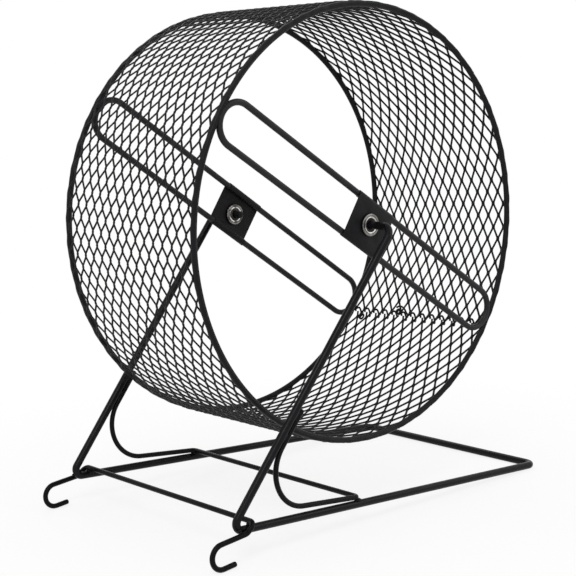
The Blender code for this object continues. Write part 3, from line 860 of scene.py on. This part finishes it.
def add_hem(bm, side):
    """The mesh's edge, folded round the rim wire and coated over: an uneven sleeve."""
    rings = []
    for step in range(HEM_STEPS + 1):
        angle = SEAM_ANGLE + math.tau * step / HEM_STEPS
        phase = mesh_column(math.degrees(angle)) * math.pi
        fold = HEM_FOLD * math.cos(phase) + HEM_RIPPLE * math.cos(2 * phase + HEM_RIPPLE_START)
        drift = HEM_DRIFT * noise.noise(drum_place(angle, side, HEM_NOISE_RADIUS))
        out = heading(angle)
        centre = out * HEM_CENTRE + ACROSS * (side * RIM_PLANE)
        ring = []
        for corner in range(HEM_SIDES):
            turn = math.tau * corner / HEM_SIDES
            twist = HEM_TWIST * math.sin(phase + turn * 2)
            height = (HEM_HALF_HEIGHT + fold + drift + twist) * math.cos(turn)
            width = (HEM_HALF_WIDTH + fold + drift - twist) * math.sin(turn)
            ring.append(bm.verts.new(centre + out * height + ACROSS * width))
        rings.append(ring)
    skin_rings(bm, rings)


def drum():
    bm = bmesh.new()
    for band in BANDS:
        for run in cut_runs(band_points(band)):
            add_strand(bm, run)
    for side in (-1, 1):
        add_hem(bm, side)
    finish_piece("drum_fine_mesh", bm, AXLE, "wheel", "mesh_coat", ["drum_mesh"])


def rims():
    for name, side in SIDES:
        angles = [math.tau * step / RIM_STEPS for step in range(RIM_STEPS)]
        path = [drum_place(angle, side * RIM_PLANE, RIM_RADIUS) for angle in angles]
        wheel_wire(name + "_rim_wire", path, RIM_WIRE, "rim_coat", [name + "_rim"])


# Lacings

def lacing_point(turns):
    phase = math.tau * turns
    uneven = LACING_UNEVENNESS * noise.noise(Vector((turns * LACING_NOISE_STEP, 0.0, LACING_NOISE_PLACE)))
    radius = (LACING_DIAMETER - LACING_WIRE) / 2 * (1 + uneven)
    y = (turns - LACING_HOLD * math.sin(2 * phase) / math.tau) * LACING_PITCH - RIM_PLANE
    angle = seam_angle(y) - radius * math.cos(phase) / MESH_MIDDLE
    return drum_place(angle, y, MESH_MIDDLE + LACING_DEPTH * math.sin(phase))


def seam_spot(across, y, inward):
    """A point beside the seam: metres across it, along the axle and in from the mesh."""
    return drum_place(seam_angle(y) + across / MESH_MIDDLE, y, MESH_MIDDLE - inward)


# Wire ends at the lacings' meeting place and near the rear rim. A spot is metres across the seam,
# along y and inward, and a ring is the spot of its centre, its radius, its turns and its rise inward
TWIST_TAIL = (
    (0.0058, 0.0216, 0.0014),
    (0.0066, 0.0188, 0.0020),
    (0.0063, 0.0158, 0.0022),
    (0.0046, 0.0126, 0.0020),
    (0.0021, 0.0098, 0.0016),
    (0.0003, 0.0074, 0.0010),
)
TWIST_RING = ((0.0020, 0.0168, 0.0020), 0.0018, 1.4, 0.0014)
KNOT_RING = ((-0.0048, 0.0514, 0.0012), 0.0020, 1.5, 0.0013)
RING_FLATNESS = 0.85
RING_STEPS_PER_TURN = 24


def wire_ring(centre, radius, turns, rise):
    """A wire end coiled on itself."""
    points = []
    steps = round(turns * RING_STEPS_PER_TURN)
    for step in range(steps + 1):
        angle = math.tau * turns * step / steps
        points.append(seam_spot(
            centre[0] + radius * math.cos(angle),
            centre[1] + radius * math.sin(angle) * RING_FLATNESS,
            centre[2] + rise * step / steps,
        ))
    return points


def lacings():
    ends = {
        "seam_lacing_front": [smooth_path([seam_spot(*spot) for spot in TWIST_TAIL]), wire_ring(*TWIST_RING)],
        "seam_lacing_rear": [wire_ring(*KNOT_RING)],
    }
    for node, (first, last) in LACING_SPANS.items():
        steps = round((last - first) * LACING_STEPS_PER_TURN)
        coil = [lacing_point(first + (last - first) * step / steps) for step in range(steps + 1)]
        bm = bmesh.new()
        for wire in [coil] + ends[node]:
            points, radii = domed_ends(wire, LACING_WIRE / 2)
            add_tube(bm, points, radii, LACING_SIDES, ACROSS)
        finish_piece(node + "_coil", bm, AXLE, "wheel", "lacing_coat", [node])


# Hubs

def loops():
    half = LOOP_SPACING / 2
    for name, side in SIDES:
        path = []
        for end in (0, math.pi):
            direction = LOOP_ANGLES[name] + end
            centre = drum_place(direction, side * RIM_PLANE, LOOP_REACH - half)
            for step in range(LOOP_END_STEPS + 1):
                angle = direction + math.pi * (step / LOOP_END_STEPS - 0.5)
                path.append(centre + heading(angle) * half)
        wheel_wire(name + "_loop_wire", path, LOOP_WIRE, "loop_coat", [name + "_spoke_loop"])


def hub_turn(name, side):
    """Matrix from a plate's own axes (along the loop, across it, outward) to the wheel's."""
    along = heading(LOOP_ANGLES[name])
    outward = ACROSS * side
    turn = Matrix((along, outward.cross(along), outward)).transposed().to_4x4()
    return Matrix.Translation(outward * RIM_PLANE) @ turn


def plate_layer(bm, height):
    """One face of the plate between its curls: its four corners and the hole for the bushing."""
    half_length = PLATE_LENGTH / 2
    half_width = LOOP_SPACING / 2
    corners = []
    for x, y in ((1, 1), (-1, 1), (-1, -1), (1, -1)):
        corners.append(bm.verts.new((half_length * x, half_width * y, height)))
    hole = []
    for step in range(HUB_HOLE_STEPS):
        angle = math.tau * step / HUB_HOLE_STEPS
        hole.append(bm.verts.new((HUB_HOLE * math.cos(angle), HUB_HOLE * math.sin(angle), height)))
    quarter = HUB_HOLE_STEPS // 4
    for index, corner in enumerate(corners):
        for step in range(quarter):
            first = index * quarter + step
            bm.faces.new((corner, hole[first], hole[(first + 1) % HUB_HOLE_STEPS]))
        after = (index + 1) * quarter % HUB_HOLE_STEPS
        bm.faces.new((corner, hole[after], corners[(index + 1) % 4]))
    return corners, hole


def plate_curl(bm, side, inner, outer):
    """The plate's long edge, bent round its wire and pressed close to it."""
    for step in range(1, CURL_STEPS + 1):
        turned = PLATE_CURL * step / CURL_STEPS
        angle = math.pi / 2 - turned
        loose = (1 - min(turned / (math.pi / 2), 1.0)) ** 2
        rings = []
        for flat, grip in ((CURL_INNER, GRIP_INNER), (CURL_OUTER, GRIP_OUTER)):
            radius = grip + (flat - grip) * loose
            y = side * (LOOP_SPACING / 2 + radius * math.cos(angle))
            reach = PLATE_LENGTH / 2 - CURL_CUTBACK * (1 - math.sin(angle))
            rings.append([bm.verts.new((x * reach, y, radius * math.sin(angle))) for x in (-1, 1)])
        bm.faces.new((*inner, rings[0][1], rings[0][0]))
        bm.faces.new((*outer, rings[1][1], rings[1][0]))
        for end in (0, 1):
            bm.faces.new((inner[end], outer[end], rings[1][end], rings[0][end]))
        inner, outer = rings
    bm.faces.new((inner[0], inner[1], outer[1], outer[0]))


def round_plate_edges(bm):
    bmesh.ops.recalc_face_normals(bm, faces=bm.faces)
    edges = [edge for edge in bm.edges if edge.is_manifold and edge.calc_face_angle() > PLATE_ROUNDED_ANGLE]
    bmesh.ops.bevel(bm, geom=edges, offset=PLATE_ROUNDING, segments=2, profile=0.5, affect="EDGES")


def plates():
    for name, side in SIDES:
        bm = bmesh.new()
        inner, inner_hole = plate_layer(bm, CURL_INNER)
        outer, outer_hole = plate_layer(bm, CURL_OUTER)
        for step in range(HUB_HOLE_STEPS):
            after = (step + 1) % HUB_HOLE_STEPS
            bm.faces.new((inner_hole[step], inner_hole[after], outer_hole[after], outer_hole[step]))
        for first, second in ((0, 3), (1, 2)):
            bm.faces.new((inner[first], inner[second], outer[second], outer[first]))
        plate_curl(bm, 1, (inner[1], inner[0]), (outer[1], outer[0]))
        plate_curl(bm, -1, (inner[2], inner[3]), (outer[2], outer[3]))
        round_plate_edges(bm)
        finish_piece(name + "_plate", bm, AXLE @ hub_turn(name, side), "wheel", "plate_coat",
                     [name + "_hub_plate"], sharp=PLATE_SHARP_ANGLE)


def rounded_rim(low, high, rounding):
    """Profile points round a flange's outer edge, from its low face to its high one."""
    radius = BUSHING_FLANGE / 2 - rounding
    points = []
    for start, height in ((-math.pi / 2, low + rounding), (0.0, high - rounding)):
        for step in range(ROUNDING_STEPS + 1):
            angle = start + math.pi / 2 * step / ROUNDING_STEPS
            points.append((radius + rounding * math.cos(angle), height + rounding * math.sin(angle)))
    return points


def bushing_profile():
    """Radii, and heights out from the rim's plane, from the bore round both flanges to the mouth."""
    bore = BUSHING_BORE / 2
    barrel = BUSHING_BARREL / 2
    mouth = BUSHING_MOUTH / 2
    seat = CURL_INNER - CLEARANCE
    lip = CURL_OUTER + CLEARANCE
    bottom = seat - FLANGE_THICKNESS
    top = lip + FLANGE_THICKNESS
    return [
        (bore, bottom + BORE_CHAMFER),
        (bore + BORE_CHAMFER, bottom),
        *rounded_rim(bottom, seat, INNER_FLANGE_ROUNDING),
        (barrel, seat),
        (barrel, lip),
        *rounded_rim(lip, top, OUTER_FLANGE_ROUNDING),
        *((mouth + out, top - down) for out, down in MOUTH_EDGE),
        (bore + BORE_CHAMFER, top - MOUTH_DEPTH),
        (bore, top - MOUTH_DEPTH - MOUTH_CHAMFER),
    ]


def bushings():
    profile = bushing_profile()
    for name, side in SIDES:
        bm = bmesh.new()
        rings = []
        for step in range(BUSHING_STEPS):
            angle = math.tau * step / BUSHING_STEPS
            rings.append([
                bm.verts.new(drum_place(angle, side * (RIM_PLANE + height), radius))
                for radius, height in profile
            ])
        skin_rings(bm, rings, closed=True)
        finish_piece(name + "_bushing_turned", bm, AXLE, "wheel", "bushing_metal",
                     [name + "_bushing"], sharp=BUSHING_SHARP_ANGLE)


def wheel_welds():
    """Beads where each loop's round ends meet the rim."""
    bm = bmesh.new()
    for name, side in SIDES:
        for end in (0, math.pi):
            for seed in (1, 2, 3):
                out = heading(LOOP_ANGLES[name] + end + RIM_BEAD_STEP * (seed - 2))
                spot = out * RIM_BEAD_RADIUS + ACROSS * (side * (RIM_PLANE - RIM_BEAD_INSET))
                along = Vector((-out.z, 0, out.x))
                add_bead(bm, spot, (along, ACROSS, out), RIM_BEAD, seed + side + end)
    finish_piece("wheel_weld_beads", bm, AXLE, "wheel", "rim_coat")


# Studio

WHITE = (1.0, 1.0, 1.0, 1.0)
PAPER = (0.93, 0.93, 0.93, 1.0)
FLOOR_REACH = 6.0
FLOOR_CELLS = 8
# Distances from the middle between which the floor turns whiter, and how white it looks there
WHITE_SPAN = (0.14, 0.38)
WHITE_SHARES = (0.80, 1.0)
WORLD_STRENGTH = 0.72
# Lamps: place, width and power
LAMPS = {
    "key_lamp": ((-1.1, -0.9, 1.6), 0.75, 11.0),
    "fill_lamp": ((1.3, -1.2, 1.1), 0.9, 4.0),
    "back_lamp": ((0.6, 1.6, 1.5), 0.9, 4.0),
}
LAMP_TARGET = Vector((0.0, 0.0, 0.15))
CAMERA_PLACE = (-0.610562, -0.688452, 0.275079)
CAMERA_TURN = (1.42360015, 0.03125168, -0.72470695)
CAMERA_LENS = 87.1117
CAMERA_SENSOR = 36.0


def seen_directly(tree):
    """1 for camera, glossy and transmission rays, and 0 for the light that falls on the object."""
    path = add_node(tree, "ShaderNodeLightPath", {}).outputs
    shown = maths_node(tree, "MAXIMUM", path["Is Camera Ray"], path["Is Glossy Ray"])
    return maths_node(tree, "MAXIMUM", shown, path["Is Transmission Ray"])


def floor_paper():
    """Pale paper that takes shadows near the object and looks white away from it."""
    material, tree, shader, place = new_material("floor_paper")
    tree.nodes.remove(shader)
    paper = add_node(tree, "ShaderNodeBsdfDiffuse", {"Color": PAPER})
    white = add_node(tree, "ShaderNodeEmission", {"Color": WHITE, "Strength": 1.0})
    far = range_node(tree, length_node(tree, place), WHITE_SPAN, WHITE_SHARES)
    share = maths_node(tree, "MULTIPLY", far, seen_directly(tree))
    surface = mix_shaders(tree, share, paper.outputs[0], white.outputs[0])
    set_inputs(tree, tree.nodes["Material Output"], {"Surface": surface})
    return material


def floor():
    bm = bmesh.new()
    bmesh.ops.create_grid(bm, x_segments=FLOOR_CELLS, y_segments=FLOOR_CELLS, size=FLOOR_REACH)
    mesh = bpy.data.meshes.new("floor")
    bm.to_mesh(mesh)
    bm.free()
    mesh.materials.append(floor_paper())
    ground = bpy.data.objects.new("floor", mesh)
    bpy.context.scene.collection.objects.link(ground)


def studio_world():
    """An even light from all round, while the background itself looks white."""
    world = bpy.data.worlds.new("studio")
    world.use_nodes = True
    bpy.context.scene.world = world
    tree = world.node_tree
    light = tree.nodes["Background"]
    set_inputs(tree, light, {"Color": WHITE, "Strength": WORLD_STRENGTH})
    white = add_node(tree, "ShaderNodeBackground", {"Color": WHITE, "Strength": 1.0})
    surface = mix_shaders(tree, seen_directly(tree), light.outputs[0], white.outputs[0])
    set_inputs(tree, tree.nodes["World Output"], {"Surface": surface})


def lamp(name, place, width, power):
    data = bpy.data.lights.new(name, "AREA")
    data.shape = "DISK"
    data.size = width
    data.energy = power
    item = bpy.data.objects.new(name, data)
    item.location = place
    item.rotation_euler = (LAMP_TARGET - Vector(place)).to_track_quat("-Z", "Y").to_euler()
    bpy.context.scene.collection.objects.link(item)


def camera():
    data = bpy.data.cameras.new("camera")
    data.sensor_width = CAMERA_SENSOR
    data.lens = CAMERA_LENS
    item = bpy.data.objects.new("camera", data)
    item.location = CAMERA_PLACE
    item.rotation_euler = Euler(CAMERA_TURN)
    bpy.context.scene.collection.objects.link(item)
    bpy.context.scene.camera = item


def studio():
    floor()
    studio_world()
    for name, look in LAMPS.items():
        lamp(name, *look)
    bpy.context.scene.view_settings.view_transform = "Standard"


camera()
main_frame()
hooks()
brace()
stand_welds()
drum()
rims()
lacings()
loops()
plates()
bushings()
wheel_welds()
studio()
